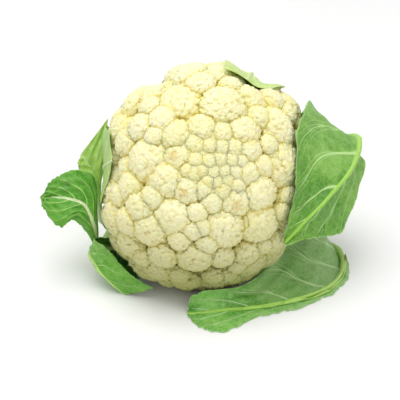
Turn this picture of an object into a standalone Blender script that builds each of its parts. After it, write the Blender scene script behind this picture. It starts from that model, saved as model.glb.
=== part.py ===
"""A whole cauliflower with its trimmed leaves, tipped over on a table so that its crown faces forward.

Lengths are written in millimetres and multiplied by MM where a mesh is made, in metres.
The view frame lies at the head's centre: x to the right, y up the picture, z towards the viewer.
The head frame shares that centre, and its third axis runs out through the crown.
"""

import math

import bmesh
import bpy
import numpy as np

MM = 0.001
SEED = 11

# How the head lies on the table.
HEAD_AT = (3.9, 6.9, 79.0)
VIEW_TILT = math.radians(33)
CROWN = (0.144, 0.072, 1.0)

# The curd, from its crown down to its stalk.
CORE_RADIUS = 75.0
CORE_HEIGHT = 64.0
CORE_DEPTH = 44.0
CORE_SUNK = 2.0
STALK_FLAT = 40.0
STALK_FLAT_FROM = -0.75
CURD_SWELLS = ((1, 225, 0.028), (2, 68, 0.055), (4, 50, 0.012))
TOPS_RISE = (2.3, 13.5)
TOPS_REACH = 58.0
TOPS_POWER = 1.6
RIM_DENTS = ((60, 9, 8.0), (119, 9, 9.0), (340, 16, 5.0))
DENT_SHARE_OF_CORE = 0.7
DENT_FROM = (math.radians(45), math.radians(75))
FLORET_LAST_ANGLE = math.radians(124)
FLORET_SPREAD = 1.26
FLORET_FLAT = 0.92

# The florets that face the viewer, and last the one that the head rests on:
# angle from the crown, angle round it and half width.
FRONT_FLORETS = (
    (75, 101, 14.8), (68, 88, 10.2), (55, 119, 15.4), (44, 83, 15.3), (56, 63, 13.7), (81, 40, 12.9),
    (53, 34, 14.1), (30, 54, 10.7), (28, 115, 9.5), (36, 144, 9.9), (80, 140, 9.9), (89, 149, 8.5),
    (62, 137, 7.3), (46, 155, 6.1), (60, 151, 9.4), (66, 163, 10.1), (72, 172, 7.1), (50, 175, 13.8),
    (29, 169, 9.3), (22, 140, 6.4), (22, 83, 6.7), (15, 118, 4.4), (13, 83, 4.9), (16, 50, 6.0),
    (24, 28, 7.9), (37, 24, 5.9), (50, 4, 16.6), (21, 345, 7.9), (38, 196, 12.2), (28, 218, 9.0),
    (20, 235, 5.2), (17, 169, 4.6), (19, 199, 5.5), (18, 276, 5.8), (18, 310, 4.6), (27, 293, 10.0),
    (25, 258, 6.3), (34, 245, 6.3), (36, 327, 11.9), (46, 229, 12.3), (47, 206, 7.2), (59, 194, 10.0),
    (67, 185, 7.1), (58, 209, 10.3), (60, 224, 11.5), (81, 209, 12.6), (78, 223, 11.0), (44, 275, 13.4),
    (40, 255, 4.9), (51, 307, 13.2), (54, 327, 5.7), (54, 339, 7.4), (63, 350, 6.0), (52, 243, 7.2),
    (44, 248, 5.6), (61, 256, 12.4), (50, 262, 7.0), (79, 242, 10.5), (83, 258, 11.1), (76, 232, 7.4),
    (63, 291, 9.7), (59, 274, 8.0), (74, 278, 7.4), (68, 284, 5.7), (86, 290, 5.1), (73, 271, 7.2),
    (62, 302, 5.7), (80, 28, 8.6), (67, 19, 6.3), (8, 164, 4.8), (4, 82, 4.9), (10, 21, 4.9),
    (15, 10, 3.7), (13, 199, 4.1), (7, 230, 4.8), (6, 307, 4.9), (12, 336, 4.6), (14, 235, 3.9),
    (12, 262, 3.7), (12, 297, 3.9), (22, 190, 3.5), (68, 198, 7.1), (105, 271, 14.5),
)

# The other florets: half widths tried in turn wherever there is still room.
FILL_HALVES = (14.5, 12.0, 9.5, 7.5)
CROWN_HALVES = (4.2, 3.4)
CROWN_ANGLE = math.radians(20)
FILL_THROWS = 4000
FILL_CLEAR = 0.80
FILL_CLEAR_IN_VIEW = 0.92
IN_VIEW = math.cos(math.radians(75))
FILL_SUNK = 0.4
FILL_SUNK_UNDER = 9.0

# How far the points of the curd's skin lie apart.
SKIN_SPACING = (1.35, 4.8)
UNDERSIDE_SPACING = 7.0
UNDERSIDE_BLEND = 0.2

# The stalk and the two rings in which leaves grow from it.
STEM_TOP = -40.3
STEM_END = -80.0
STEM_RADIUS = 19.0
STEM_SIDES = 24
OUTER_RING = (21.0, -66.0)
INNER_RING = (21.0, -50.5)
CORE_RING = (21.0, -42.5)

# The leaves: a thin blade on each side of a stalk that thins towards the tip.
BLADE = 1.0
RIB_TIP_HALF_WIDTH = 1.2
RIB_SHARE = (0.12, 0.55)
RIB_SHOULDER = 0.45
BLADE_BLEND = 0.12
FLOOR_GAP = 0.15
RING_STRAIGHT = (16, 3)
NEARBY = math.cos(math.radians(6.5))

GOLDEN = math.pi * (3 - math.sqrt(5))


def unit(vector):
    vector = np.asarray(vector, float)
    return vector / np.linalg.norm(vector, axis=-1, keepdims=True)


CROWN_AXIS = unit(CROWN)
SIDE_AXIS = unit(np.array([1.0, 0.0, 0.0]) - CROWN_AXIS[0] * CROWN_AXIS)
RISE_AXIS = np.cross(CROWN_AXIS, SIDE_AXIS)
HEAD_AXES = np.array([SIDE_AXIS, RISE_AXIS, CROWN_AXIS])


def to_world(points):
    """View frame, in millimetres, to the world, in metres."""
    x, y, z = np.asarray(points, float).T
    c, s = math.cos(VIEW_TILT), math.sin(VIEW_TILT)
    return (np.column_stack((x, y * s - z * c, y * c + z * s)) + HEAD_AT) * MM


def height(points):
    """The height over the table of points in the view frame."""
    return HEAD_AT[2] + points[..., 1] * math.cos(VIEW_TILT) + points[..., 2] * math.sin(VIEW_TILT)


def lifted(points, lowest):
    """The points raised where they are lower than that over the table."""
    rise = np.maximum(lowest - height(points), 0)[..., None]
    return points + rise * np.array([0, math.cos(VIEW_TILT), math.sin(VIEW_TILT)])


def egg(polar, wide):
    """How far a ball reaches that is flattened more under its rim than over it."""
    tall = np.where(polar < math.pi / 2, CORE_HEIGHT, CORE_DEPTH)
    return 1 / np.sqrt((np.sin(polar) / wide) ** 2 + (np.cos(polar) / tall) ** 2)


def core_radius(polar, around):
    """The core under the florets: that ball, swollen round its rim."""
    swell = 1 + sum(a * np.cos(n * (around - math.radians(at))) for n, at, a in CURD_SWELLS)
    return egg(polar, CORE_RADIUS * swell)


def smooth_step(low, high, values):
    share = np.clip((values - low) / (high - low), 0, 1)
    return share * share * (3 - 2 * share)


def dent(polar, around):
    """How deep the notches between the lobes of the rim are."""
    depth = 0
    for at, half_width, deep in RIM_DENTS:
        away = (np.degrees(around) - at + 180) % 360 - 180
        depth = depth + deep * np.exp(-((away / half_width) ** 2))
    return depth * smooth_step(*DENT_FROM, polar)


def grown(arc, smallest, largest):
    """A length that grows from the crown outwards."""
    return smallest + (largest - smallest) * (1 - np.exp(-((arc / TOPS_REACH) ** TOPS_POWER)))


def running_sum(values, steps):
    return np.concatenate(([0], np.cumsum((values[1:] + values[:-1]) / 2 * steps)))


def spiral(spacing, last):
    """Golden-angle spiral of (polar angle, angle round, distance from the crown), spaced by a rule."""
    polar = np.linspace(1e-4, last, 4000)
    steps = np.diff(polar)
    reach = egg(polar, CORE_RADIUS)
    slope = np.hypot(np.gradient(reach, polar), reach)
    arc = running_sum(slope, steps)
    cell = math.sqrt(3) / 2 * spacing(arc, polar) ** 2
    count = running_sum(2 * math.pi * reach * np.sin(polar) * slope / cell, steps)
    index = np.arange(int(count[-1]))
    at = np.interp(index + 0.5, count, polar)
    return at, (index * GOLDEN) % (2 * math.pi), np.interp(at, polar, arc)


def direction(polar, around):
    """Unit vectors in the head frame."""
    return np.column_stack((np.sin(polar) * np.cos(around), np.sin(polar) * np.sin(around), np.cos(polar)))


def arc_at(polar):
    """The way over the core from the crown to a polar angle."""
    angles = np.linspace(1e-4, math.pi - 0.01, 4000)
    reach = egg(angles, CORE_RADIUS)
    arc = running_sum(np.hypot(np.gradient(reach, angles), reach), np.diff(angles))
    return np.interp(polar, angles, arc)


def floret_tops(polar, around):
    """Points of the surface that the florets' tops lie on."""
    reach = core_radius(polar, around) + grown(arc_at(polar), *TOPS_RISE) - dent(polar, around)
    return direction(polar, around) * reach[:, None]


def throws():
    """Even directions over the head, in a seeded order: their polar angles and floret tops."""
    index = np.arange(FILL_THROWS)
    polar = np.arccos(1 - (index + 0.5) / FILL_THROWS * (1 - math.cos(FLORET_LAST_ANGLE)))
    around = (index * GOLDEN) % (2 * math.pi)
    order = np.random.default_rng(SEED).permutation(FILL_THROWS)
    return polar[order], floret_tops(polar[order], around[order])


def florets():
    """Centres, half widths and half heights of the florets' domes, in the head frame."""
    front = np.array(FRONT_FLORETS)
    tops = list(floret_tops(*np.radians(front[:, :2]).T))
    halves = list(front[:, 2])
    sunk = [0.0] * len(front)
    polar, spots = throws()
    for half in FILL_HALVES + CROWN_HALVES:
        for spot in spots[polar < CROWN_ANGLE] if half in CROWN_HALVES else spots:
            in_view = (spot @ HEAD_AXES)[2] > 0 and spot[2] > IN_VIEW * np.linalg.norm(spot)
            clear = FILL_CLEAR_IN_VIEW if in_view and half not in CROWN_HALVES else FILL_CLEAR
            away = np.linalg.norm(np.array(tops) - spot, axis=1)
            if (away > clear * (np.array(halves) + half)).all():
                tops.append(spot)
                halves.append(half)
                sunk.append(FILL_SUNK * max(FILL_SUNK_UNDER - half, 0))
    tops, halves = np.array(tops), np.array(halves)
    tall = FLORET_FLAT * halves
    return tops - unit(tops) * (np.array(sunk) + tall)[:, None], FLORET_SPREAD * halves, tall


FLORETS = florets()


def curd_radius(along):
    """How far the curd reaches from its centre: the core, or the furthest floret that the line leaves."""
    centre, wide, tall = FLORETS
    polar = np.arccos(np.clip(along[:, 2], -1, 1))
    around = np.arctan2(along[:, 1], along[:, 0])
    reach = core_radius(polar, around) - CORE_SUNK - DENT_SHARE_OF_CORE * dent(polar, around)
    cosine = along @ unit(centre).T
    away = np.linalg.norm(centre, axis=1)
    square = cosine**2 / tall**2 + (1 - cosine**2) / wide**2
    middle = away * cosine / tall**2
    inside = middle**2 - square * (away**2 / tall**2 - 1)
    out = np.where(inside > 0, (middle + np.sqrt(np.maximum(inside, 0))) / square, 0)
    reach = np.maximum(reach, out.max(1))
    under = along[:, 2] < STALK_FLAT_FROM
    return np.where(under, np.minimum(reach, STALK_FLAT / np.where(under, -along[:, 2], 1)), reach)


def new_object(name, mesh, material, collection):
    """An object in the collection with that mesh and material."""
    obj = bpy.data.objects.new(name, mesh)
    collection.objects.link(obj)
    mesh.materials.append(material)
    return obj


def surface(name, colour, roughness):
    """A plain material."""
    material = bpy.data.materials.new(name)
    material.use_nodes = True
    shader = material.node_tree.nodes["Principled BSDF"]
    shader.inputs["Base Color"].default_value = (*colour, 1)
    shader.inputs["Roughness"].default_value = roughness
    shader.inputs["Metallic"].default_value = 0
    return material


def point_spacing(arc, polar):
    """The skin's points lie closer at the crown, where the florets are small, and evenly under the head."""
    under = np.clip((polar - FLORET_LAST_ANGLE) / UNDERSIDE_BLEND, 0, 1)
    return grown(arc, *SKIN_SPACING) * (1 - under) + UNDERSIDE_SPACING * under


def curd_directions():
    polar, around, _ = spiral(point_spacing, math.pi - 0.02)
    return direction(polar, around)


CURD_ALONG = curd_directions()
CURD_REACH = curd_radius(CURD_ALONG)


def finished(work, name, material, collection):
    """The working mesh as an object with its faces pointing out."""
    bmesh.ops.recalc_face_normals(work, faces=work.faces)
    mesh = bpy.data.meshes.new(name)
    work.to_mesh(mesh)
    work.free()
    mesh.shade_smooth()
    return new_object(name, mesh, material, collection)


def make_curd(collection, material):
    """One skin round the florets: the hull of even directions, each pulled out to the curd's reach."""
    work = bmesh.new()
    for spot in CURD_ALONG:
        work.verts.new(spot)
    bmesh.ops.convex_hull(work, input=work.verts)
    points = CURD_ALONG * CURD_REACH[:, None] @ HEAD_AXES
    for vert, spot in zip(work.verts, to_world(lifted(points, 0.0))):
        vert.co = spot
    return finished(work, "curd", material, collection)


def make_stem(collection, material):
    """A turned stalk, a little waisted, whose end is the knife's cut."""
    profile = (
        (0, STEM_TOP),
        (STEM_RADIUS - 2, STEM_TOP),
        (STEM_RADIUS - 3, STEM_TOP - 6),
        (STEM_RADIUS - 3, STEM_END + 20),
        (STEM_RADIUS - 1, STEM_END + 8),
        (STEM_RADIUS - 1, STEM_END + 1),
        (STEM_RADIUS - 2, STEM_END),
        (0, STEM_END),
    )
    work = bmesh.new()
    verts = [work.verts.new((out, 0, along)) for out, along in profile]
    edges = [work.edges.new(pair) for pair in zip(verts, verts[1:])]
    bmesh.ops.spin(
        work,
        geom=verts + edges,
        axis=(0, 0, 1),
        cent=(0, 0, 0),
        steps=STEM_SIDES,
        angle=2 * math.pi,
        use_merge=True,
    )
    bmesh.ops.remove_doubles(work, verts=work.verts, dist=0.001)
    for vert in work.verts:
        vert.co = to_world(np.array([vert.co]) @ HEAD_AXES)[0]
    return finished(work, "stem", material, collection)


def ring_station(ring, azimuth, out, drop, half_width):
    """Rib, anticlockwise edge and clockwise edge of a leaf stalk beside the stem, in the view frame."""
    turn = math.radians(azimuth)
    outward = np.array([math.cos(turn), math.sin(turn), 0])
    across = np.array([-math.sin(turn), math.cos(turn), 0])
    rib = outward * (ring[0] + out) + np.array([0, 0, ring[1] + drop])
    return [spot @ HEAD_AXES for spot in (rib, rib + across * half_width, rib - across * half_width)]


def smooth(stations, at):
    """Catmull-Rom curve through the stations, read at parameters from 0 to 1."""
    stations = np.asarray(stations, float)
    padded = np.vstack((2 * stations[0] - stations[1], stations, 2 * stations[-1] - stations[-2]))
    place = np.clip(np.asarray(at) * (len(stations) - 1), 0, len(stations) - 1 - 1e-9)
    k = place.astype(int)
    t = (place - k)[:, None]
    a, b, c, d = (padded[k + i] for i in range(4))
    return 0.5 * (2 * b + (c - a) * t + (2 * a - 5 * b + 4 * c - d) * t**2 + (3 * b - a - 3 * c + d) * t**3)


def clear_of_curd(points, gap):
    """Points pushed out from the head's centre until they clear the florets near them."""
    head = points @ HEAD_AXES.T
    reach = np.linalg.norm(head, axis=-1, keepdims=True)
    along = head / reach
    near = (along @ CURD_ALONG.T) > NEARBY
    limit = np.where(near, CURD_REACH, 0).max(-1) + gap
    return points * np.maximum(limit[..., None] / reach, 1)


def leaf_curves(leaf, along):
    """The leaf's rib, anticlockwise edge and clockwise edge at the parameters."""
    stations = [
        ring_station(leaf["ring"], leaf["azimuth"], 0, 0, leaf["stalk"]),
        ring_station(leaf["ring"], leaf["azimuth"], *RING_STRAIGHT, leaf["stalk"]),
    ]
    stations += leaf["stations"]
    return [smooth([np.array(station[i], float) for station in stations], along) for i in range(3)]


def blade_side(leaf, along, rib, edge, sign):
    """Rows of points from beside the rib to one edge, domed, waved and toothed."""
    across = edge - rib
    half = np.linalg.norm(across, axis=1, keepdims=True)
    rib_half = RIB_TIP_HALF_WIDTH + (leaf["stalk"] - 1 - RIB_TIP_HALF_WIDTH) * (1 - along[:, None]) ** 1.3
    first = np.clip(rib_half / np.maximum(half, 1e-6), *RIB_SHARE)
    normal = unit(np.cross(unit(np.gradient(rib, axis=0)), unit(across + 1e-9))) * sign
    blade = np.clip((along - leaf["blade_from"]) / BLADE_BLEND, 0, 1)[:, None]
    turn = leaf["waves"] * 2 * math.pi * along + leaf["phase"] * sign
    wave = leaf["ruffle"] * blade * np.sin(turn)[:, None]
    in_and_out = np.where(np.arange(len(along)) % 2, 1, -1)[:, None]
    tooth = 1 + leaf["tooth"] * in_and_out * blade / np.maximum(half, 6)
    columns = []
    for step in np.linspace(0, 1, leaf["side_columns"]):
        share = first + (1 - first) * step
        lift = leaf["bulge"] * 4 * share * (1 - share) + wave * share**2
        columns.append(rib + across * share * (tooth if step == 1 else 1) + normal * lift)
    return columns


def leaf_sheet(leaf):
    """The leaf's middle surface on a grid of rows and columns, and its thickness there."""
    along = np.linspace(0, 1, leaf["rows"] + 1)
    rib, anticlockwise, clockwise = leaf_curves(leaf, along)
    before = blade_side(leaf, along, rib, clockwise, -1)
    after = blade_side(leaf, along, rib, anticlockwise, 1)
    grid = np.stack(before[::-1] + [rib] + after, axis=1)
    thick = np.full(grid.shape[:2], BLADE)
    middle = len(before)
    stalk = leaf["stalk_thick"] * (1 - along) ** 1.2
    thick[:, middle] += stalk
    thick[:, middle - 1] += RIB_SHOULDER * stalk
    thick[:, middle + 1] += RIB_SHOULDER * stalk
    grid = clear_of_curd(grid, leaf["gap"] + thick / 2)
    return lifted(grid, thick / 2 + FLOOR_GAP), thick


def sheet_mesh(name, sheet):
    """A grid of triangles bent to the sheet, and which of the sheet's points each vertex is."""
    rows, columns = sheet.shape[0] - 1, sheet.shape[1] - 1
    work = bmesh.new()
    bmesh.ops.create_grid(work, x_segments=rows, y_segments=columns, size=0.5)
    order = [
        round((vert.co.x + 0.5) * rows) * (columns + 1) + round((vert.co.y + 0.5) * columns)
        for vert in work.verts
    ]
    world = to_world(sheet.reshape(-1, 3))
    for vert, k in zip(work.verts, order):
        vert.co = world[k]
    bmesh.ops.triangulate(work, faces=work.faces)
    mesh = bpy.data.meshes.new(name)
    work.to_mesh(mesh)
    work.free()
    return mesh, order


def make_leaf(name, leaf, collection, material):
    """The leaf's sheet, thickened: most at the stalk, and evenly over the blade."""
    sheet, thick = leaf_sheet(leaf)
    mesh, order = sheet_mesh(name + "_sheet", sheet)
    flat = new_object(name + "_sheet", mesh, material, collection)
    group = flat.vertex_groups.new(name="thickness")
    share = (thick / thick.max()).reshape(-1)
    for vert, k in enumerate(order):
        group.add([vert], float(share[k]), "REPLACE")
    solidify = flat.modifiers.new("thickness", "SOLIDIFY")
    solidify.thickness = thick.max() * MM
    solidify.offset = 0
    solidify.vertex_group = "thickness"
    graph = bpy.context.evaluated_depsgraph_get()
    solid = bpy.data.meshes.new_from_object(flat.evaluated_get(graph))
    bpy.data.objects.remove(flat)
    solid.name = name
    for vert in solid.vertices:
        vert.co.z = max(vert.co.z, 0.0)
    solid.shade_smooth()
    leaf_object = bpy.data.objects.new(name, solid)
    collection.objects.link(leaf_object)
    return leaf_object


# Each station of a leaf holds a point of its rib, of its anticlockwise edge and of its clockwise edge,
# in the view frame. Its stalk's first two stations come from the ring it grows in.
LEAVES = {
    "leaf_right": {
        "ring": OUTER_RING, "azimuth": 14, "stalk": 8.0, "stalk_thick": 6.5, "rows": 20, "side_columns": 4,
        "blade_from": 0.34, "tooth": 1.6, "ruffle": 1.6, "waves": 3.0, "phase": 1.0, "bulge": 3.0, "gap": 1.6,
        "stations": (
            ((72, 15, -46), (64, 36, -44), (76, 2, -49)),
            ((98, 18, -25), (76, 53, -14), (103, 6, -31)),
            ((119, 16, -2), (74, 50, 13), (121, 5, -10)),
            ((110, -3, 16), (68, 30, 34), (112, -18, 1)),
            ((92, -25, 28), (67, -4, 44), (101, -50, 9)),
            ((74, -40, 36), (62, -33, 43), (78, -49, 28)),
            ((58, -53, 38), (57, -52, 38), (59, -54, 37)),
        ),
    },
    "leaf_front": {
        "ring": OUTER_RING, "azimuth": 316, "stalk": 8.0, "stalk_thick": 6.5, "rows": 22, "side_columns": 4,
        "blade_from": 0.25, "tooth": 1.5, "ruffle": 1.5, "waves": 4.0, "phase": 0.4, "bulge": 3.5, "gap": 1.2,
        "stations": (
            ((64, -48, -60), (68, -34, -52), (60, -58, -62)),
            ((104, -62, -50), (90, -36, -34), (107, -67, -50)),
            ((109, -79, -27), (86, -40, -18), (112, -83, -26)),
            ((96, -92, -6), (74, -52, -6), (98, -97, -4)),
            ((71, -99, 7), (56, -68, 1), (71, -106, 12)),
            ((42, -103, 15), (35, -80, 14), (38, -112, 22)),
            ((15, -104, 19), (11, -85, 20), (13, -122, 37)),
            ((-3, -107, 20), (-11, -93, 24), (-6, -118, 32)),
            ((-15, -109, 20), (-15, -108, 20), (-15, -110, 21)),
        ),
    },
    "leaf_left": {
        "ring": OUTER_RING, "azimuth": 207, "stalk": 7.5, "stalk_thick": 6.0, "rows": 20, "side_columns": 4,
        "blade_from": 0.56, "tooth": 1.6, "ruffle": 1.6, "waves": 4.0, "phase": 0.9, "bulge": 2.0, "gap": 3.0,
        "stations": (
            ((-68, -48, -50), (-59, -58, -50), (-74, -36, -50)),
            ((-86, -68, -28), (-78, -76, -24), (-94, -58, -32)),
            ((-90, -62, -14), (-85, -67, -9), (-97, -56, -19)),
            ((-87, -51, -3), (-87, -55, 1), (-86, -46, -7)),
            ((-88, -39, 5), (-93, -45, 6), (-85, -32, 0)),
            ((-94, -25, 8), (-102, -36, 12), (-86, -4, 2)),
            ((-106, -20, 9), (-113, -42, 14), (-104, 1, 5)),
            ((-117, -19, 6), (-125, -28, 8), (-122, -8, 3)),
            ((-127, -19, 0), (-127, -20, 0), (-127, -18, 0)),
        ),
    },
    "leaf_lower_left": {
        "ring": INNER_RING, "azimuth": 240, "stalk": 7.0, "stalk_thick": 5.0, "rows": 16, "side_columns": 3,
        "blade_from": 0.3, "tooth": 1.5, "ruffle": 1.5, "waves": 3.0, "phase": 0.3, "bulge": -3.0, "gap": 2.0,
        "stations": (
            ((-46, -58, -36), (-36, -62, -38), (-57, -50, -33)),
            ((-72, -68, -22), (-66, -76, -24), (-80, -54, -12)),
            ((-72, -78, -14), (-74, -83, -17), (-72, -63, 2)),
            ((-68, -87, -8), (-72, -90, -10), (-62, -75, 6)),
            ((-64, -93, -4), (-67, -94, -6), (-42, -89, 9)),
        ),
    },
    "leaf_upper_left": {
        "ring": INNER_RING, "azimuth": 200, "stalk": 6.5, "stalk_thick": 4.5, "rows": 16, "side_columns": 3,
        "blade_from": 0.55, "tooth": 1.2, "ruffle": 1.5, "waves": 3.0, "phase": 0.8, "bulge": 2.0, "gap": 2.4,
        "stations": (
            ((-62, -36, -40), (-58, -45, -40), (-66, -26, -40)),
            ((-79, -27, -25), (-77, -37, -21), (-82, -15, -28)),
            ((-85, -13, -17), (-83, -19, -10), (-88, -4, -22)),
            ((-87, 0, -11), (-86, -8, -4), (-87, 13, -18)),
            ((-92, 8, -7), (-96, 1, -4), (-83, 28, -13)),
            ((-98, 14, -6), (-100, 12, -5), (-80, 42, -7)),
        ),
    },
    "leaf_inner_left": {
        "ring": CORE_RING, "azimuth": 172, "stalk": 6.0, "stalk_thick": 1.5, "rows": 10, "side_columns": 3,
        "blade_from": 0.4, "tooth": 1.2, "ruffle": 0.8, "waves": 2.0, "phase": 0.2, "bulge": 0.0, "gap": 0.6,
        "stations": (
            ((-62, 3, -28), (-58, -16, -29), (-56, 22, -28)),
            ((-79, 4, -8), (-75, -24, -8), (-72, 38, -8)),
            ((-80, 5, 8), (-79, -20, 2), (-76, 36, 4)),
        ),
    },
    "leaf_top": {
        "ring": INNER_RING, "azimuth": 72, "stalk": 6.5, "stalk_thick": 4.0, "rows": 12, "side_columns": 3,
        "blade_from": 0.4, "tooth": 1.2, "ruffle": 1.6, "waves": 2.5, "phase": 0.5, "bulge": 2.0, "gap": 2.2,
        "stations": (
            ((28, 62, -34), (12, 66, -36), (42, 53, -34)),
            ((35, 75, -18), (14, 82, -20), (54, 61, -16)),
            ((36, 80, -4), (14, 87, -6), (56, 64, -3)),
        ),
    },
}

# Leaves cut short behind the head: (ring, azimuth, half width at the cut, how far up the side they reach).
TRIMMED = (
    (OUTER_RING, 266, 16, 0.60),
    (OUTER_RING, 150, 22, 0.80),
    (OUTER_RING, 107, 28, 0.92),
    (OUTER_RING, 58, 25, 0.84),
    (INNER_RING, 130, 25, 0.82),
    (INNER_RING, 340, 26, 0.94),
    (INNER_RING, 298, 13, 0.40),
)
TRIMMED_PATH = ((32, 12), (48, 26), (60, 44))
TRIMMED_STALK = 8.0
OUTER_GAP = 9.0
INNER_GAP = 1.2


def trimmed_leaf(ring, azimuth, half_width, reach):
    """A leaf's thick stalk with blade on each side, which follows the curd's underside to its cut."""
    stations = []
    for step, (out, drop) in enumerate(TRIMMED_PATH, 1):
        wide = TRIMMED_STALK + (half_width - TRIMMED_STALK) * (step / len(TRIMMED_PATH)) ** 0.7
        stations.append(ring_station(ring, azimuth, out * reach, drop * reach, wide))
    return {
        "ring": ring, "azimuth": azimuth, "stalk": 7.5, "stalk_thick": 5.5, "rows": 9, "side_columns": 3,
        "blade_from": 0.45, "tooth": 1.2, "ruffle": 1.4, "waves": 2.0, "phase": azimuth, "bulge": -1.0,
        "gap": OUTER_GAP if ring is OUTER_RING else INNER_GAP, "stations": stations,
    }


def main():
    for obj in list(bpy.data.objects):
        bpy.data.objects.remove(obj)
    collection = bpy.data.collections.new("cauliflower")
    bpy.context.scene.collection.children.link(collection)
    make_curd(collection, surface("curd", (0.86, 0.80, 0.55), 0.6))
    make_stem(collection, surface("stem", (0.66, 0.74, 0.42), 0.55))
    leaf_green = surface("leaf", (0.16, 0.38, 0.08), 0.5)
    for name, leaf in LEAVES.items():
        make_leaf(name, leaf, collection, leaf_green)
    for number, row in enumerate(TRIMMED, 1):
        make_leaf(f"trimmed_leaf_{number}", trimmed_leaf(*row), collection, leaf_green)


main()
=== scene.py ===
import math

import bpy
import numpy as np
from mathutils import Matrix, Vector


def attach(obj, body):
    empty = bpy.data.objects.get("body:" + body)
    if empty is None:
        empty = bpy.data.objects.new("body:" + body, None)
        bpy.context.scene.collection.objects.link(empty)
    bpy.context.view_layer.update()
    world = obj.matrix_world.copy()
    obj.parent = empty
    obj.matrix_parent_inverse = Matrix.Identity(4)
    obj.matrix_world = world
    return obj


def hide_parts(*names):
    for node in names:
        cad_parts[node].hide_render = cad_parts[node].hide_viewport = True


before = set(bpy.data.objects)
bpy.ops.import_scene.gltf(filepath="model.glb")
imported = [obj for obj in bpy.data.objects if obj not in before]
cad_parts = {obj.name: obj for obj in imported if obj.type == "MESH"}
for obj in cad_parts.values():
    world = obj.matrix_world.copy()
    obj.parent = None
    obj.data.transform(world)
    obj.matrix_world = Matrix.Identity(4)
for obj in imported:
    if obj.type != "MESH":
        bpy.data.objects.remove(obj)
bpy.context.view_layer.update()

mm = 0.001
golden = math.pi * (3 - math.sqrt(5))

# Lengths are in mm until a mesh is filled. The view frame lies at the head's centre:
# x to the right, y up the picture, z to the viewer. The head frame's third axis leaves at the
# crown.
head = {
    "at": (3.9, 6.9, 79.0),            # the head's centre over the table
    "viewTilt": math.radians(33),      # how far down the viewer looks
    "crown": (0.144, 0.072, 1.0),      # where the crown points in the view frame
}


def unit(vectors):
    # each vector divided by its length
    return vectors / np.maximum(np.linalg.norm(vectors, axis=-1, keepdims=True), 1e-9)


def smoothStep(low, high, values):
    # 0 below low, 1 above high, 3t^2 - 2t^3 between them
    t = np.clip((values - low) / (high - low), 0, 1)
    return t * t * (3 - 2 * t)


def headFrame():
    # rows: the head's side, rise and crown axes in the view frame
    crown = unit(np.array(head["crown"]))
    side = unit(np.array([1.0, 0, 0]) - crown[0] * crown)
    return np.array([side, np.cross(crown, side), crown])


headAxes = headFrame()


def toWorld(points):
    # view frame turned up by the viewer's tilt and moved to the head's place, in metres
    c, s = math.cos(head["viewTilt"]), math.sin(head["viewTilt"])
    x, y, z = points[..., 0], points[..., 1], points[..., 2]
    return (np.stack((x, y * s - z * c, y * c + z * s), axis=-1) + head["at"]) * mm


def lifted(points, lowest):
    # points lower over the table than that are raised to it
    c, s = math.cos(head["viewTilt"]), math.sin(head["viewTilt"])
    height = head["at"][2] + points[..., 1] * c + points[..., 2] * s
    return points + np.maximum(lowest - height, 0)[..., None] * np.array([0, c, s])


def outwardFaces(points, faces):
    # the triangles, turned over if the volume that they close is negative
    a, b, c = points[faces[:, 0]], points[faces[:, 1]], points[faces[:, 2]]
    return faces if (a * np.cross(b, c)).sum() > 0 else faces[:, ::-1]


def putMesh(name, points, faces, material, node, values=None, uv=None):
    # world points and triangles become a smooth mesh with float values and a map on it
    mesh = bpy.data.meshes.new(name)
    faces = np.ascontiguousarray(faces, dtype=np.int32)
    mesh.vertices.add(len(points))
    mesh.vertices.foreach_set("co", points.astype(np.float32).ravel())
    mesh.loops.add(faces.size)
    mesh.loops.foreach_set("vertex_index", faces.ravel())
    mesh.polygons.add(len(faces))
    mesh.polygons.foreach_set("loop_start", np.arange(0, faces.size, 3, dtype=np.int32))
    mesh.update(calc_edges=True)
    for key, value in (values or {}).items():
        data = mesh.attributes.new(key, "FLOAT", "POINT").data
        data.foreach_set("value", value.astype(np.float32).ravel())
    if uv is not None:
        layer = mesh.uv_layers.new(name="veinMap")
        layer.data.foreach_set("uv", uv[faces.ravel()].astype(np.float32).ravel())
    mesh.validate()
    mesh.shade_smooth()
    mesh.materials.append(material)
    piece = bpy.data.objects.new(name, mesh)
    bpy.context.scene.collection.objects.link(piece)
    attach(piece, "root")
    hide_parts(node)


def rings(rows, columns):
    # triangles between rows of closed rings, with a pole before the first ring and after the last
    i, j = np.meshgrid(np.arange(rows - 1), np.arange(columns), indexing="ij")
    a, b = 1 + i * columns + j, 1 + i * columns + (j + 1) % columns
    c, d = a + columns, b + columns
    j = np.arange(columns)
    last = 1 + rows * columns
    top = np.stack((np.zeros(columns, int), 1 + j, 1 + (j + 1) % columns), axis=1)
    end = 1 + (rows - 1) * columns
    base = np.stack((np.full(columns, last), end + (j + 1) % columns, end + j), axis=1)
    quads = np.concatenate((np.stack((a, c, b), -1), np.stack((b, c, d), -1))).reshape(-1, 3)
    return np.concatenate((top, quads, base))


# shader helpers
def fill(tree, node, values):
    # each named input gets a number, a colour of three parts or a link from a socket
    for label, value in values.items():
        socket = node.inputs[label]
        if isinstance(value, bpy.types.NodeSocket):
            tree.links.new(value, socket)
        else:
            socket.default_value = (*value, 1) if socket.type == "RGBA" else value
    return node


def newMaterial(name):
    material = bpy.data.materials.new(name)
    material.use_nodes = True
    return material, material.node_tree, material.node_tree.nodes["Principled BSDF"]


def newGroup(name, numbers, outputs):
    # a group that takes a Vector and named numbers and puts out numbers
    group = bpy.data.node_groups.new(name, "ShaderNodeTree")
    group.interface.new_socket("Vector", in_out="INPUT", socket_type="NodeSocketVector")
    for label, value in numbers.items():
        socket = group.interface.new_socket(label, in_out="INPUT", socket_type="NodeSocketFloat")
        socket.default_value = value
    for label in outputs:
        group.interface.new_socket(label, in_out="OUTPUT", socket_type="NodeSocketFloat")
    given, out = group.nodes.new("NodeGroupInput").outputs, group.nodes.new("NodeGroupOutput")
    return group, given, out


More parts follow.
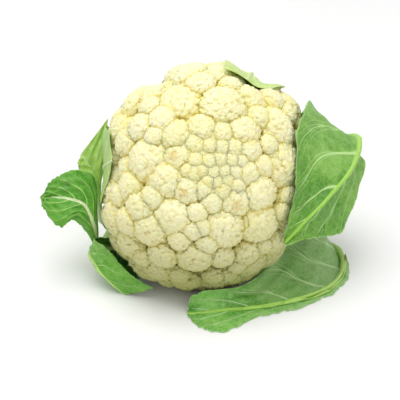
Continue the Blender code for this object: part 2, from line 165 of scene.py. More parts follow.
def useGroup(tree, group, vector, values):
    node = tree.nodes.new("ShaderNodeGroup")
    node.node_tree = group
    return fill(tree, node, {"Vector": vector, **values}).outputs


def mathNode(tree, operation, first, second=0.5, clamp=False):
    # one Math node; each value is a number or a socket
    node = tree.nodes.new("ShaderNodeMath")
    node.operation = operation
    node.use_clamp = clamp
    return fill(tree, node, {0: first, 1: second}).outputs[0]


def times(tree, first, second):
    return mathNode(tree, "MULTIPLY", first, second)


def rampNode(tree, value, low, high, first=0.0, last=1.0):
    # a smooth step from first to last between low and high
    node = tree.nodes.new("ShaderNodeMapRange")
    node.interpolation_type = "SMOOTHSTEP"
    ends = {"From Min": low, "From Max": high, "To Min": first, "To Max": last}
    return fill(tree, node, {"Value": value, **ends}).outputs["Result"]


def mixColour(tree, share, first, second):
    # first and second are colours or sockets
    node = tree.nodes.new("ShaderNodeMix")
    node.data_type = "RGBA"
    return fill(tree, node, {"Factor": share, "A": first, "B": second}).outputs["Result"]


def bumpNode(tree, height, strength, distance):
    node = tree.nodes.new("ShaderNodeBump")
    fill(tree, node, {"Strength": strength, "Distance": distance, "Height": height})
    return node.outputs["Normal"]


def noiseNode(tree, vector, scale, detail=2.0):
    node = tree.nodes.new("ShaderNodeTexNoise")
    return fill(tree, node, {"Vector": vector, "Scale": scale, "Detail": detail}).outputs


def cellNode(tree, feature, vector, scale):
    node = tree.nodes.new("ShaderNodeTexVoronoi")
    node.feature = feature
    return fill(tree, node, {"Vector": vector, "Scale": scale})


def attribute(tree, name):
    node = tree.nodes.new("ShaderNodeAttribute")
    node.attribute_name = name
    return node.outputs["Fac"]


def objectPlace(tree):
    return tree.nodes.new("ShaderNodeTexCoord").outputs["Object"]


# effects that several materials share
def makeMottle():
    # slow and quick noise together, as a mask round 0.5
    group, given, out = newGroup("softMottle", {"Slow Scale": 30, "Quick Scale": 300}, ("Mask",))
    slow = noiseNode(group, given["Vector"], given["Slow Scale"], 3)["Fac"]
    quick = noiseNode(group, given["Vector"], given["Quick Scale"], 3)["Fac"]
    mask = mathNode(group, "ADD", times(group, slow, 0.6), times(group, quick, 0.4))
    fill(group, out, {"Mask": mask})
    return group


def makeGrain():
    # tiny round cells, high in their middles, for the buds of the curd and the pores of a stalk
    group, given, out = newGroup("fleshGrain", {"Scale": 900}, ("Height", "Pits"))
    cells = cellNode(group, "SMOOTH_F1", given["Vector"], given["Scale"])
    away = fill(group, cells, {"Smoothness": 0.35}).outputs["Distance"]
    dome = mathNode(group, "SUBTRACT", 1.0, away, clamp=True)
    fill(group, out, {"Height": dome, "Pits": rampNode(group, away, 0.45, 0.75)})
    return group


def makeVeins():
    # side veins: the map's x counts them and its y runs from the rib to the edge; they thin
    # outwards, and each sends a pair of forks off at two places on its way
    widths = {"Width": 0.1, "Fork Width": 0.06}
    group, given, out = newGroup("sideVeins", widths, ("Veins", "Forks"))
    split = fill(group, group.nodes.new("ShaderNodeSeparateXYZ"), {0: given["Vector"]}).outputs
    outwards = mathNode(group, "ABSOLUTE", split["Y"])
    thinner = mathNode(group, "SUBTRACT", 1.15, outwards)
    place = mathNode(group, "FRACT", split["X"])
    fromVein = mathNode(group, "ABSOLUTE", mathNode(group, "SUBTRACT", place, 0.5))

    def line(away, width):
        wide = times(group, width, thinner)
        return rampNode(group, away, times(group, wide, 0.35), wide, 1.0, 0.0)

    forks = []
    for start, slope in ((0.28, 0.52), (0.58, 0.62)):
        past = times(group, mathNode(group, "SUBTRACT", outwards, start), slope)
        fromFork = mathNode(group, "ABSOLUTE", mathNode(group, "SUBTRACT", fromVein, past))
        fork = line(fromFork, given["Fork Width"])
        forks.append(times(group, fork, mathNode(group, "GREATER_THAN", past, 0.0)))
    fill(group, out, {
        "Veins": line(fromVein, given["Width"]), "Forks": mathNode(group, "MAXIMUM", *forks)})
    return group


def makeNet():
    # the net of small veins: cell edges, drawn apart at two sizes, their places nudged by a noise
    group, given, out = newGroup("fineNet", {"Scale": 260}, ("Lines", "Pillows"))
    warp = noiseNode(group, given["Vector"], 120)["Color"]
    shift = group.nodes.new("ShaderNodeVectorMath")
    shift.operation = "MULTIPLY_ADD"
    fill(group, shift, {0: warp, 1: (0.004, 0.004, 0.004), 2: given["Vector"]})
    coarseCells, fineCells = (
        cellNode(group, "DISTANCE_TO_EDGE", shift.outputs[0], times(group, given["Scale"], factor))
        for factor in (1.0, 2.6)
    )
    coarseEdge, fineEdge = coarseCells.outputs["Distance"], fineCells.outputs["Distance"]
    coarse = rampNode(group, coarseEdge, 0.02, 0.12, 1.0, 0.0)
    fine = times(group, rampNode(group, fineEdge, 0.02, 0.2, 1.0, 0.0), 0.45)
    lines = mathNode(group, "MAXIMUM", coarse, fine)
    fill(group, out, {"Lines": lines, "Pillows": rampNode(group, coarseEdge, 0.0, 0.35)})
    return group


softMottle = makeMottle()
fleshGrain = makeGrain()
sideVeins = makeVeins()
fineNet = makeNet()

# the curd: the same florets as the solid's, each made finer
curd = {
    "coreRadius": 75.0, "coreHeight": 64.0, "coreDepth": 44.0,
    "swells": ((1, 225, 0.028), (2, 68, 0.055), (4, 50, 0.012)),   # (lobes, direction, share)
    # florets' tops over the core at the crown and at the rim
    "rise": (2.3, 13.5), "riseReach": 58.0, "risePower": 1.6,
    # dents of the rim: (direction, half width, depth)
    "dents": ((60, 9, 8.0), (119, 9, 9.0), (340, 16, 5.0)),
    "dentFrom": (math.radians(45), math.radians(75)),
    "notches": ((69, 12, 9.0), (182, 17, 9.0)),    # the same where small leaves lie on the rim
    "lastAngle": math.radians(124),
    # florets that face the viewer: (angle from the crown, angle round it, half width)
    "front": (
        (75, 101, 14.8), (68, 88, 10.2), (55, 119, 15.4), (44, 83, 15.3), (56, 63, 13.7),
        (81, 40, 12.9), (53, 34, 14.1), (30, 54, 10.7), (28, 115, 9.5), (36, 144, 9.9),
        (80, 140, 9.9), (91, 149, 8.6), (62, 137, 7.3), (46, 155, 6.1), (60, 151, 9.4),
        (69, 162, 10.1), (83, 171, 7.3), (50, 175, 13.8), (29, 169, 9.3), (22, 140, 6.4),
        (22, 83, 6.7), (15, 118, 4.4), (13, 83, 4.9), (16, 50, 6.0), (24, 28, 7.9),
        (37, 24, 5.9), (50, 4, 16.6), (21, 345, 7.9), (38, 196, 12.2), (28, 218, 9.0),
        (20, 235, 5.2), (17, 169, 4.6), (19, 199, 5.5), (18, 276, 5.8), (18, 310, 4.6),
        (27, 293, 10.0), (25, 258, 6.3), (34, 245, 6.3), (36, 327, 11.9), (46, 229, 12.3),
        (47, 206, 7.2), (62, 194, 10.0), (81, 183, 7.2), (58, 209, 10.3), (60, 224, 11.5),
        (83, 209, 12.6), (78, 223, 11.0), (44, 275, 13.4), (40, 255, 4.9), (51, 307, 13.2),
        (54, 327, 5.7), (54, 339, 7.4), (63, 350, 6.0), (52, 243, 7.2), (44, 248, 5.6),
        (61, 256, 12.4), (50, 262, 7.0), (79, 242, 10.5), (83, 258, 11.1), (76, 232, 7.4),
        (63, 291, 9.7), (59, 274, 8.0), (74, 278, 7.4), (68, 284, 5.7), (86, 290, 5.1),
        (73, 271, 7.2), (62, 302, 5.7), (80, 28, 8.6), (67, 19, 6.3), (8, 164, 4.8),
        (4, 82, 4.9), (10, 21, 4.9), (15, 10, 3.7), (13, 199, 4.1), (7, 230, 4.8),
        (6, 307, 4.9), (12, 336, 4.6), (14, 235, 3.9), (12, 262, 3.7), (12, 297, 3.9),
        (22, 190, 3.5), (72, 197, 7.1), (67, 8, 7.5), (67, 357, 8.0), (64, 343, 6.5),
        (105, 271, 14.5),                          # the one that the head rests on
    ),
    # the rest: half widths tried in turn where there is still room
    "fill": (14.5, 12.0, 9.5, 7.5), "throws": 4000, "seed": 11, "clear": 0.80, "clearInView": 0.92,
    "inView": math.radians(75), "sunk": 0.4,
    "crownFill": (4.2, 3.4), "crownAngle": math.radians(20),
    "spread": 1.26, "flat": 0.92,                  # half width and height of a dome, as shares
    "smallSpread": 0.18,                           # how much wider the smallest are, to merge
    "smallHalf": (4.0, 7.5),                       # half widths from small to no longer small
    "packing": 0.866, "nudge": 0.22,               # row spacing of buds and grains, and their stray
    "domeEnd": math.radians(108), "capEnd": math.radians(122),     # of the dome, and of its buds
    "budSeed": 5,
    "budShares": (0.25, 0.40), "budSizes": (2.0, 6.0),   # a floret's buds, at its top and its rim
    "budSunk": (0.06, 0.22), "budRound": (0.53, 0.62),   # their depth and radius, by spacing
    "grainShare": 0.13, "grainSizes": (1.4, 2.1),        # grains on the buds
    "grainSunk": (0.30, 0.46), "grainRound": (0.58, 0.72),
    "neckSteps": 5, "neckWidth": 0.35, "neckDepth": 1.5,       # the floret's stalk, by its radius
    "tanFlorets": (18, 29, 35),                          # those in front with a tan middle
    "meshStep": 0.42,                                    # as a share of the grain spacing
    "pieceFull": 166000,                                 # triangles after which a new piece starts
}


def egg(polar, wide):
    # 1 / sqrt((sin/wide)^2 + (cos/tall)^2), with less height under the rim than over it
    tall = np.where(polar < math.pi / 2, curd["coreHeight"], curd["coreDepth"])
    return 1 / np.sqrt((np.sin(polar) / wide) ** 2 + (np.cos(polar) / tall) ** 2)


def coreReach(polar, around):
    # that egg, with its width swollen by cosines of the angle round it
    swell = 1 + sum(a * np.cos(n * (around - math.radians(at))) for n, at, a in curd["swells"])
    return egg(polar, curd["coreRadius"] * swell)


def runningSum(values, steps):
    return np.concatenate(([0], np.cumsum((values[1:] + values[:-1]) / 2 * steps)))


def arcTable():
    # polar angles and the arc from the crown to each
    polar = np.linspace(1e-4, math.pi - 0.01, 4000)
    reach = egg(polar, curd["coreRadius"])
    return polar, runningSum(np.hypot(np.gradient(reach, polar), reach), np.diff(polar))


arcs = arcTable()


def dent(polar, around, dents):
    # depth exp(-(angle / half width)^2) for each notch of the rim, fading out towards the crown
    depth = 0
    for at, halfWidth, deep in dents:
        away = (np.degrees(around) - at + 180) % 360 - 180
        depth = depth + deep * np.exp(-((away / halfWidth) ** 2))
    return depth * smoothStep(*curd["dentFrom"], polar)


def topReach(polar, around):
    # the core and what the florets rise over it: low + growth (1 - exp(-(arc / reach)^power))
    low, high = curd["rise"]
    grown = 1 - np.exp(-((np.interp(polar, *arcs) / curd["riseReach"]) ** curd["risePower"]))
    dents = dent(polar, around, curd["dents"]) + dent(polar, around, curd["notches"])
    return coreReach(polar, around) + low + (high - low) * grown - dents


def direction(polar, around):
    # the unit vector at a polar angle from the crown and an angle round it
    out = np.sin(polar)
    return np.stack((out * np.cos(around), out * np.sin(around), np.cos(polar)), -1)


def placeFlorets():
    # the ones in view, then seeded throws of ever smaller ones that keep clear of all the others
    front = np.array(curd["front"])
    polar, around = np.radians(front[:, 0]), np.radians(front[:, 1])
    index = np.arange(curd["throws"])
    throwPolar = np.arccos(1 - (index + 0.5) / curd["throws"] * (1 - math.cos(curd["lastAngle"])))
    throwAround = (index * golden) % (2 * math.pi)
    order = np.random.default_rng(curd["seed"]).permutation(curd["throws"])
    throwPolar, throwAround = throwPolar[order], throwAround[order]

    def spots(polar, around):
        return direction(polar, around) * topReach(polar, around)[..., None]

    tops, halves, sunk = list(spots(polar, around)), list(front[:, 2]), [0.0] * len(front)
    throws = spots(throwPolar, throwAround)
    for half in curd["fill"] + curd["crownFill"]:
        for throw, fromCrown in zip(throws, throwPolar):
            if half in curd["crownFill"] and fromCrown > curd["crownAngle"]:
                continue
            away = np.linalg.norm(np.array(tops) - throw, axis=1)
            near = throw[2] > math.cos(curd["inView"]) * np.linalg.norm(throw)
            inView = near and (throw @ headAxes)[2] > 0
            clear = curd["clearInView"] if inView and half > 5 else curd["clear"]
            if (away > clear * (np.array(halves) + half)).all():
                tops.append(throw)
                halves.append(half)
                sunk.append(curd["sunk"] * max(9 - half, 0))
    tops, halves = np.array(tops), np.array(halves)
    small = 1 - smoothStep(*curd["smallHalf"], halves)
    wide, tall = (curd["spread"] + curd["smallSpread"] * small) * halves, curd["flat"] * halves
    centres = tops - unit(tops) * (np.array(sunk) + tall)[:, None]
    return centres, wide, tall


floretCentre, floretRadius, floretHeight = placeFlorets()
print("curd: florets placed", len(floretRadius))


def ballsReach(along, centres, radii):
    # c.u + sqrt(r^2 - |c|^2 + (c.u)^2) of the furthest ball, 0 where the line misses them all
    middle = along @ centres.T
    square = radii**2 - (centres**2).sum(1) + middle**2
    return np.where(square > 0, middle + np.sqrt(np.maximum(square, 0)), 0).max(1)


def capDots(spacings, radius, widest, rng):
    # golden-angle directions over a cap, wider apart from its top to its rim, each nudged by a draw
    polar = np.linspace(1e-4, widest, 400)
    spacing = spacings(polar / widest)
    density = 2 * math.pi * radius**2 * np.sin(polar) / (curd["packing"] * spacing**2)
    count = runningSum(density, np.diff(polar))
    index = np.arange(max(int(count[-1]), 5))
    at = np.interp(index + 0.5, count, polar)
    gaps = spacings(at / widest)
    dots = direction(at, index * golden + rng.uniform(0, 6.28))
    return unit(dots + rng.normal(0, curd["nudge"], dots.shape) * (gaps / radius)[:, None]), gaps


def floretSurface(index, rng):
    # a ball whose reach is the furthest bud on it, and then the furthest grain on the buds, pressed
    # flat along its axis; below its widest part it runs in to a stalk that ends inside the head
    centre, radius, height = floretCentre[index], floretRadius[index], floretHeight[index]
    widest, stalkFrom = curd["capEnd"], curd["domeEnd"]
    budLow, budHigh = (np.clip(share * radius, *curd["budSizes"]) for share in curd["budShares"])
    grainGap = float(np.clip(curd["grainShare"] * radius, *curd["grainSizes"]))
    body = radius - 0.15 * (budLow + budHigh)

    def budSpacing(share):
        return budLow + (budHigh - budLow) * share**1.3

    budDots, budGap = capDots(budSpacing, radius, widest, rng)
    budCentre = budDots * (body - budGap * rng.uniform(*curd["budSunk"], len(budDots)))[:, None]
    budRadius = budGap * rng.uniform(*curd["budRound"], len(budDots))

    def budReach(along):
        return np.maximum(ballsReach(along, budCentre, budRadius), body * 0.93)

    grainDots = capDots(lambda share: grainGap + 0 * share, radius, widest, rng)[0]
    grainSunk = grainGap * rng.uniform(*curd["grainSunk"], len(grainDots))
    grainCentre = grainDots * (budReach(grainDots) - grainSunk)[:, None]
    grainRadius = grainGap * rng.uniform(*curd["grainRound"], len(grainDots))
    step = curd["meshStep"] * grainGap
    rows = int(stalkFrom * radius / step)
    columns = int(2 * math.pi * radius * 0.9 / step)
    polar, around = np.meshgrid(
        np.linspace(0, stalkFrom, rows + 1)[1:],
        np.linspace(0, 2 * math.pi, columns, endpoint=False), indexing="ij")
    along = np.vstack(([[0, 0, 1.0]], direction(polar, around).reshape(-1, 3)))
    buds = budReach(along)
    reach = np.maximum(ballsReach(along, grainCentre, grainRadius), buds - 0.2 * grainGap)
    gapHere = budSpacing(np.arccos(np.clip(along[:, 2], -1, 1)) / widest)
    # relief is 1 on buds and grains and 0 between them; the material paints shade where it is low
    relief = 0.75 * smoothStep(0, 1, (buds - body) / gapHere / 0.36)
    relief = relief + 0.25 * smoothStep(-0.2 * grainGap, 0.25 * grainGap, reach - buds)
    dome = along * reach[:, None] * np.array([1, 1, height / radius])
    # below its rim the floret narrows to a neck
    neck = np.linspace(0, 1, curd["neckSteps"] + 1)[1:, None, None]
    rim = dome[-columns:][None]
    foot = rim * [curd["neckWidth"], curd["neckWidth"], 0] - [0, 0, curd["neckDepth"] * radius]
    neckPoints = (rim * (1 - neck) + foot * neck).reshape(-1, 3)
    local = np.vstack((dome, neckPoints, [[0, 0, -(curd["neckDepth"] + 0.05) * radius]]))
    relief = np.concatenate((relief, np.full(len(neckPoints) + 1, 0.3)))
    # the floret's own axes: out from the head's centre, turned a little by the draw
    out = unit(unit(centre) + rng.normal(0, 0.05, 3))
    side = unit(np.cross(out, [0.3, 0.9, 0.2]))
    axes = np.array([side, np.cross(out, side), out])
    return local @ axes + centre, rings(rows + curd["neckSteps"], columns), relief


def creases(points, index):
    # 1 where the surface dips to a neighbour's dome, 0 a few mm away from it; it masks painted
    # shade
    near = np.argsort(np.linalg.norm(floretCentre - floretCentre[index], axis=1))[1:15]
    centre, wide, tall = floretCentre[near], floretRadius[near], floretHeight[near]
    away = points[:, None] - centre[None]
    out = (away * unit(centre)[None]).sum(2)
    square = (away**2).sum(2) - out**2
    reach = np.sqrt(np.maximum(square, 0) / wide**2 + out**2 / tall**2)
    weight = 0.65 + 0.35 * smoothStep(6, 12, floretRadius[index])
    return weight * (1 - smoothStep(-0.3, 2.4, ((reach - 1) * tall).min(1)))


def tanMiddle(points, index):
    # 1 at the top of a floret that is listed as tan, 0 from half its width on
    if index not in curd["tanFlorets"]:
        return np.zeros(len(points))
    top = floretCentre[index] + unit(floretCentre[index]) * floretHeight[index]
    return 1 - smoothStep(0.10, 0.50, np.linalg.norm(points - top, axis=1) / floretRadius[index])


def sphericalPlace(points):
    reach = np.linalg.norm(points, axis=-1)
    polar = np.arccos(np.clip(points[..., 2] / np.maximum(reach, 1e-9), -1, 1))
    return reach, polar, np.arctan2(points[..., 1], points[..., 0])


def valleys(points):
    # how far the surface lies under the florets' tops; it masks painted shade
    reach, polar, around = sphericalPlace(points)
    return smoothStep(1.5, 10.0, topReach(polar, around) - reach)


curdTones = {
    "paleDeep": (0.85, 0.80, 0.43), "paleLight": (0.91, 0.87, 0.56),
    # painted shade: dip, valley and crease are darker, yellower tones for the hollows
    "dipShade": (0.84, 0.73, 0.26), "valleyShade": (0.86, 0.75, 0.22), "creaseShade": (0.94, 0.76, 0.16),
    "low": (0.30, 0.32, 0.085), "lowShadeHeight": 0.095,      # painted shade: darker and greener up to these metres over the table
    "tan": (0.66, 0.46, 0.10),
    "grainScale": 850.0, "slowScale": 22.0, "quickScale": 240.0,
}


floretMasks = ("relief", "creaseShade", "valleyShade", "tan")


def makeCurdMaterial():
    # ivory flesh, with painted shade: yellower and darker in dips and creases, greener and darker
    # low down
    material, tree, shader = newMaterial("curdFlesh")
    place = objectPlace(tree)
    tones = curdTones
    scales = {"Slow Scale": tones["slowScale"], "Quick Scale": tones["quickScale"]}
    patches = useGroup(tree, softMottle, place, scales)["Mask"]
    grain = useGroup(tree, fleshGrain, place, {"Scale": tones["grainScale"]})["Height"]
    relief, creaseShade, valleyShade, tan = (attribute(tree, name) for name in floretMasks)
    shade = rampNode(tree, patches, 0.40, 0.62)
    pale = mixColour(tree, shade, tones["paleDeep"], tones["paleLight"])
    # painted shade: dips between grains, valleys under the tops and creases between florets go
    # darker and yellower
    dipShade = times(tree, rampNode(tree, relief, 0.05, 0.55, 1.0, 0.0), 0.45)
    dipShaded = mixColour(tree, dipShade, pale, tones["dipShade"])
    deep = times(tree, valleyShade, rampNode(tree, patches, 0.38, 0.60, 0.40, 0.80))
    valleyShaded = mixColour(tree, deep, dipShaded, tones["valleyShade"])
    lines = mixColour(tree, times(tree, creaseShade, 0.60), valleyShaded, tones["creaseShade"])
    # painted shade: the flesh near the table is darkened and turned greener
    height = fill(tree, tree.nodes.new("ShaderNodeSeparateXYZ"), {0: place}).outputs["Z"]
    low = rampNode(tree, height, 0.0, tones["lowShadeHeight"], 1.0, 0.0)
    greenerAndShaded = mixColour(tree, low, lines, tones["low"])
    tan = times(tree, tan, rampNode(tree, relief, 0.2, 0.9, 0.9, 0.45))
    fill(tree, shader, {
        "Base Color": mixColour(tree, tan, greenerAndShaded, tones["tan"]),
        "Roughness": rampNode(tree, relief, 0.2, 0.9, 0.62, 0.48),
        "Normal": bumpNode(tree, grain, 0.25, 0.0005),
        "Subsurface Weight": 0.6, "Subsurface Radius": (1.0, 0.78, 0.35), "Subsurface Scale": 0.005,
        "Specular IOR Level": 0.35,
    })
    return material


curdFlesh = makeCurdMaterial()


def placeInHead(points):
    return toWorld(lifted(points @ headAxes, 0.25))


def buildCurd():
    # floret after floret; each time their triangles fill a piece, it is made
    rng = np.random.default_rng(curd["budSeed"])
    batch, count, number = [], 0, 1
    last = len(floretRadius) - 1
    for index in range(len(floretRadius)):
        points, faces, relief = floretSurface(index, rng)
        tan = tanMiddle(points, index)
        batch.append((points, faces, relief, creases(points, index), valleys(points), tan))
        count += len(faces)
        if count > curd["pieceFull"] or index == last:
            starts = np.cumsum([0] + [len(part[0]) for part in batch[:-1]])
            points, faces, *masks = zip(*batch)
            putMesh(
                f"curd_florets_{number}",
                placeInHead(np.concatenate(points)),
                np.concatenate([part + start for part, start in zip(faces, starts)]),
                curdFlesh, "curd",
                {name: np.concatenate(mask) for name, mask in zip(floretMasks, masks)},
            )
            batch, count, number = [], 0, number + 1
    print("curd: florets made", len(floretRadius))


buildCurd()

# the flesh under the florets and the branches that carry them
curdInside = {
    "sunk": 3.5, "crownSunk": -0.9,                # depth under the curd's core, and at the crown
    "rows": 90, "columns": 180,
    "stalkFlat": 40.0, "flatFrom": math.radians(139),
    "branchFrom": math.radians(66),
    "branchSteps": 16, "branchSides": 14, "branchWidth": 0.42, "branchSunk": 4.0,
    "footRadius": 5.0, "footRing": 10.0, "footAt": -43.0,
}


def buildCore():
    # the egg, sunk under the florets and cut flat over the stalk
    polar, around = np.meshgrid(
        np.linspace(0, math.pi, curdInside["rows"] + 2)[1:-1],
        np.linspace(0, 2 * math.pi, curdInside["columns"], endpoint=False), indexing="ij")
    sunk = curdInside["sunk"] * smoothStep(0, 0.8, polar) + curdInside["crownSunk"]
    reach = coreReach(polar, around) - sunk - 0.7 * dent(polar, around, curd["dents"])
    reach = reach - dent(polar, around, curd["notches"])
    flat = curdInside["stalkFlat"] / np.maximum(-np.cos(polar), 0.05)
    reach = np.where(polar > curdInside["flatFrom"], np.minimum(reach, flat), reach)
    points = (direction(polar, around) * reach[..., None]).reshape(-1, 3)
    points = np.vstack(([[0, 0, points[0, 2]]], points, [[0, 0, points[-1, 2]]]))
    faces = outwardFaces(points, rings(curdInside["rows"], curdInside["columns"]))
    full = np.ones(len(points))
    # painted shade: the core carries crease and valley shade all over
    putMesh("curd_core", placeInHead(points), faces, curdFlesh, "curd",
            {"relief": full * 0.35, "creaseShade": full * 0.6, "valleyShade": full * 0.8})


def tube(path, radii, sides):
    # a circle carried along a path: centre + radius (cos a . first + sin a . second)
    along = unit(np.gradient(path, axis=0))
    first = unit(np.cross(along, [0.1, 0.2, 1.0]))
    second = np.cross(along, first)
    turn = np.linspace(0, 2 * math.pi, sides, endpoint=False)[None, :, None]
    ring = np.cos(turn) * first[:, None] + np.sin(turn) * second[:, None]
    points = (path[:, None] + radii[:, None, None] * ring).reshape(-1, 3)
    return np.vstack((path[:1], points, path[-1:]))


def buildBranches():
    # quadratic curves from each outer floret to a ring on the stalk, thicker where they join it
    t = np.linspace(0, 1, curdInside["branchSteps"])[:, None]
    batch, faces, start = [], [], 0
    ringFaces = rings(curdInside["branchSteps"], curdInside["branchSides"])
    for centre, radius in zip(floretCentre, floretRadius):
        reach, polar, around = sphericalPlace(centre)
        if polar < curdInside["branchFrom"]:
            continue
        foot = np.array([math.cos(around), math.sin(around), 0]) * curdInside["footRing"]
        foot[2] = curdInside["footAt"]
        bendAt = (polar + math.pi * 1.15) / 2
        bend = direction(bendAt, around) * (coreReach(bendAt, around) - curdInside["branchSunk"])
        path = (1 - t) ** 2 * centre * 0.96 + 2 * t * (1 - t) * bend + t**2 * foot
        share = t[:, 0]
        wide = radius * curdInside["branchWidth"] * (1 - share) + curdInside["footRadius"] * share
        points = tube(path, wide, curdInside["branchSides"])
        batch.append(points)
        faces.append(outwardFaces(points - points.mean(0), ringFaces) + start)
        start += len(points)
    points = np.concatenate(batch)
    full = np.ones(len(points))
    # painted shade: the branches carry some valley shade
    putMesh("curd_branches", placeInHead(points), np.concatenate(faces), curdFlesh, "curd",
            {"relief": full * 0.9, "creaseShade": full * 0.0, "valleyShade": full * 0.35})


buildCore()
buildBranches()
print("curd: core and branches made")

# the stalk
stalk = {
    "profile": ((0.2, -39.5), (16.5, -39.8), (16.6, -46), (15.8, -52), (15.8, -60), (17.4, -71),
                (18.0, -78), (17.6, -79.7), (15.5, -80.1), (8.0, -79.8), (0.2, -79.9)),
    "steps": 120, "sides": 96,
    "lobes": 7, "lobeDepth": 0.5, "lobeTwist": 0.08,
    "cutFrom": -79.45, "cutRadius": 17.5,
    "skin": ((0.46, 0.56, 0.26), (0.66, 0.72, 0.44)),
    "flesh": ((0.76, 0.72, 0.50), (0.86, 0.83, 0.64)),
    "fibre": (0.52, 0.50, 0.26), "pits": (0.55, 0.46, 0.26),
}


def makeStalkMaterial():
    # pale green skin; the cut end is cream with a ring of fibres under the skin
    material, tree, shader = newMaterial("stalkSkin")
    place = objectPlace(tree)
    mottle = useGroup(tree, softMottle, place, {"Slow Scale": 60.0, "Quick Scale": 420.0})["Mask"]
    grain = useGroup(tree, fleshGrain, place, {"Scale": 1100.0})
    out = attribute(tree, "outwards")
    skin = mixColour(tree, mottle, *stalk["skin"])
    flesh = mixColour(tree, mottle, *stalk["flesh"])
    fibre = times(tree, rampNode(tree, out, 0.66, 0.78), rampNode(tree, out, 0.82, 0.93, 1.0, 0.0))
    ring = mixColour(tree, fibre, flesh, stalk["fibre"])
    pitted = mixColour(tree, times(tree, grain["Pits"], 0.5), ring, stalk["pits"])
    fill(tree, shader, {
        "Base Color": mixColour(tree, attribute(tree, "cut"), skin, pitted),
        "Roughness": rampNode(tree, mottle, 0.3, 0.7, 0.42, 0.60),
        "Normal": bumpNode(tree, grain["Height"], 0.4, 0.0004),
        "Subsurface Weight": 0.2, "Subsurface Scale": 0.003,
    })
    return material


stalkSkin = makeStalkMaterial()


def smoothCurve(stations, at):
    # Catmull-Rom through the stations, at parameters from 0 to 1
    stations = np.asarray(stations, float)
    padded = np.vstack((2 * stations[0] - stations[1], stations, 2 * stations[-1] - stations[-2]))
    place = np.clip(np.asarray(at) * (len(stations) - 1), 0, len(stations) - 1 - 1e-9)
    k = place.astype(int)
    t = (place - k)[:, None]
    a, b, c, d = (padded[k + i] for i in range(4))
    square, cube = 2 * a - 5 * b + 4 * c - d, 3 * b - a - 3 * c + d
    return 0.5 * (2 * b + (c - a) * t + square * t**2 + cube * t**3)


def buildStalk():
    # the profile turned round the crown's axis, its radius swollen in lobes where leaves sat
    profile = np.array(stalk["profile"])
    steps = np.concatenate(([0], np.cumsum(np.linalg.norm(np.diff(profile, axis=0), axis=1))))
    at = np.linspace(0, steps[-1], stalk["steps"])
    out, along = np.interp(at, steps, profile[:, 0]), np.interp(at, steps, profile[:, 1])
    turn = np.linspace(0, 2 * math.pi, stalk["sides"], endpoint=False)[None, :]
    lobes = np.cos(stalk["lobes"] * turn + along[:, None] * stalk["lobeTwist"])
    radius = out[:, None] + stalk["lobeDepth"] * lobes * smoothStep(4, 14, out)[:, None]
    spots = (radius * np.cos(turn), radius * np.sin(turn), along[:, None] + 0 * turn)
    points = np.stack(spots, -1).reshape(-1, 3)
    points = np.vstack(([[0, 0, along[0]]], points, [[0, 0, along[-1]]]))
    faces = outwardFaces(points - points.mean(0), rings(stalk["steps"], stalk["sides"]))
    share = np.hypot(points[:, 0], points[:, 1]) / stalk["cutRadius"]
    cut = (points[:, 2] < stalk["cutFrom"]).astype(float)
    putMesh("stalk", placeInHead(points), faces, stalkSkin, "stem",
            {"cut": cut, "outwards": share})


buildStalk()
print("stalk made")

# what every leaf shares
leafShared = {
    "blade": 0.55,                       # thickness
    "outerRing": (21.0, -66.0), "innerRing": (21.0, -50.5), "coreRing": (21.0, -42.5),
    "ringStraight": (16, 3),
    "ribTipHalfWidth": 0.9,
    "veinSlant": 0.20,                   # how far a side vein runs tipwards, as a share of the leaf
    "veinHeight": 0.40, "quilt": 0.8, "crumple": 0.9,
    "veinWidth": 0.16,                   # of a vein's ridge, by half the space between two
    "floorGap": 0.3, "curdGap": 0.8,
    "soft": 1.5,                         # mm over which a leaf bends to keep clear of the curd
    "waxColour": (0.30, 0.47, 0.20),
}


def ringStation(ring, azimuth, out, drop, halfWidth):
    # rib and both edges of a leaf stalk beside the stem
    turn = math.radians(azimuth)
    outward = np.array([math.cos(turn), math.sin(turn), 0])
    across = np.array([-math.sin(turn), math.cos(turn), 0])
    rib = outward * (ring[0] + out) + np.array([0, 0, ring[1] + drop])
    return [spot @ headAxes for spot in (rib, rib + across * halfWidth, rib - across * halfWidth)]


def clearOfCurd(points, gap):
    # reach from the centre becomes the soft maximum of itself and the florets' tops plus a gap
    spots = points @ headAxes.T
    reach, polar, around = sphericalPlace(spots)
    tops = topReach(polar, around) + leafShared["curdGap"]
    under = smoothStep(math.radians(118), math.radians(140), polar)
    tops = tops * (1 - under) + (coreReach(polar, around) - 1) * under
    limit = tops + gap
    soft = leafShared["soft"] * np.logaddexp(reach / leafShared["soft"], limit / leafShared["soft"])
    return points * (np.where(polar > math.radians(150), reach, soft) / reach)[..., None]


